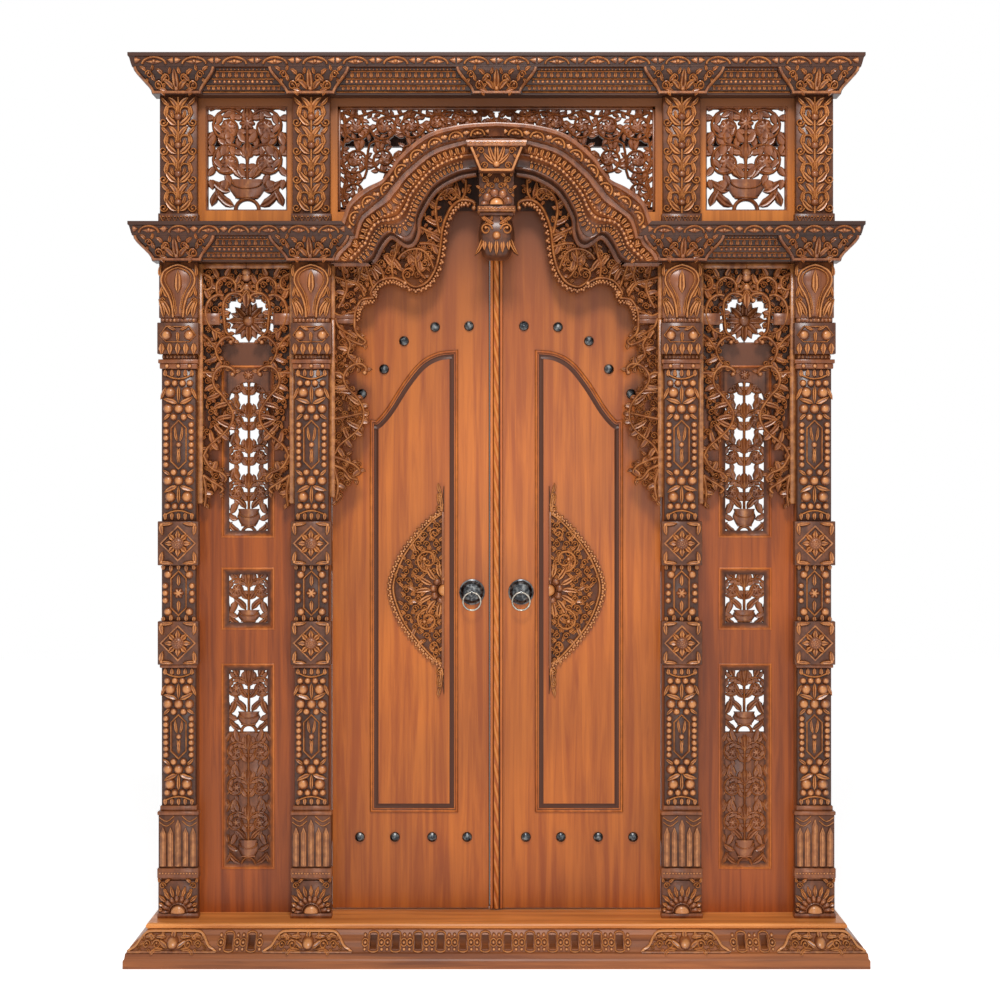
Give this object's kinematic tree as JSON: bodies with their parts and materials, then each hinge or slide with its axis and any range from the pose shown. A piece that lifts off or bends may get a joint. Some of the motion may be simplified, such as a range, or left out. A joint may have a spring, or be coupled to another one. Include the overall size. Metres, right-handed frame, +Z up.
{
  "type": "carved temple door",
  "caption": "Carved teak double door in its own facade frame with posts, cornices, a multifoil arch, pierced panels, hinged leaves with ring pulls and a floor bolt",
  "frame": {"origin": "middle of the footprint on the floor", "axes": "+Z up, front towards -Y, +X to the right of a person facing the front"},
  "size_m": [2.194, 0.305, 2.7],
  "materials": {
    "frame_teak": "varnished, semi-gloss",
    "carved_teak": "varnished carving with dark recesses",
    "leaf_teak": "varnished, satin",
    "backing_teak": "dark stained",
    "dark_iron": "dark waxed",
    "ring_steel": "worn"
  },
  "bodies": {
    "frame": {"base_moulding": "frame_teak", "sill_board": "frame_teak", "sill_rail": "frame_teak", "outer_left_post": "carved_teak", "inner_left_post": "carved_teak", "inner_right_post": "carved_teak", "outer_right_post": "carved_teak", "outer_left_upper_post": "carved_teak", "inner_left_upper_post": "carved_teak", "inner_right_upper_post": "carved_teak", "outer_right_upper_post": "carved_teak", "left_cornice": "frame_teak", "right_cornice": "frame_teak", "left_arch_moulding": "frame_teak", "right_arch_moulding": "frame_teak", "keystone": "carved_teak", "pendant": "carved_teak", "crown_cornice": "frame_teak", "rear_beam": "backing_teak", "arch_backboard": "backing_teak", "upper_left_frame": "frame_teak", "upper_right_frame": "frame_teak", "upper_centre_frame": "frame_teak", "upper_left_panel": "carved_teak", "upper_right_panel": "carved_teak", "upper_centre_panel": "carved_teak", "left_wing_frame": "frame_teak", "left_wing_crest": "carved_teak", "left_wing_tall_panel": "carved_teak", "left_wing_small_panel": "carved_teak", "left_wing_low_panel": "carved_teak", "right_wing_frame": "frame_teak", "right_wing_crest": "carved_teak", "right_wing_tall_panel": "carved_teak", "right_wing_small_panel": "carved_teak", "right_wing_low_panel": "carved_teak", "left_side_fretwork": "carved_teak", "right_side_fretwork": "carved_teak", "left_arch_fretwork": "carved_teak", "right_arch_fretwork": "carved_teak", "left_jamb_fretwork": "carved_teak", "right_jamb_fretwork": "carved_teak", "post_hinge_straps": "dark_iron"},
    "left_leaf": {"left_leaf_frame": "leaf_teak", "left_leaf_panel": "leaf_teak", "left_medallion": "carved_teak", "left_studs": "dark_iron", "left_pull_boss": "dark_iron", "left_hinge_straps": "dark_iron"},
    "right_leaf": {"right_leaf_frame": "leaf_teak", "right_leaf_panel": "leaf_teak", "right_medallion": "carved_teak", "right_studs": "dark_iron", "right_pull_boss": "dark_iron", "right_hinge_straps": "dark_iron", "meeting_strip": "carved_teak", "bolt_guide": "dark_iron"},
    "left_ring": {"left_pull_ring": "ring_steel"},
    "right_ring": {"right_pull_ring": "ring_steel"},
    "floor_bolt": {"bottom_bolt": "ring_steel"}
  },
  "joints": [
    {"name": "left_leaf_hinge", "type": "hinge", "parent": "frame", "child": "left_leaf", "pos_m": [-0.503, 0.1315, 1.2], "axis": [0, 0, 1], "range_deg": [0, 105]},
    {"name": "right_leaf_hinge", "type": "hinge", "parent": "frame", "child": "right_leaf", "pos_m": [0.503, 0.1315, 1.2], "axis": [0, 0, -1], "range_deg": [0, 105]},
    {"name": "left_ring_swing", "type": "hinge", "parent": "left_leaf", "child": "left_ring", "pos_m": [-0.075, 0.0565, 1.092], "axis": [-1, 0, 0], "range_deg": [0, 100]},
    {"name": "right_ring_swing", "type": "hinge", "parent": "right_leaf", "child": "right_ring", "pos_m": [0.075, 0.0565, 1.092], "axis": [-1, 0, 0], "range_deg": [0, 100]},
    {"name": "floor_bolt_slide", "type": "slide", "parent": "right_leaf", "child": "floor_bolt", "axis": [0, 0, -1], "range_m": [0, 0.018]}
  ]
}
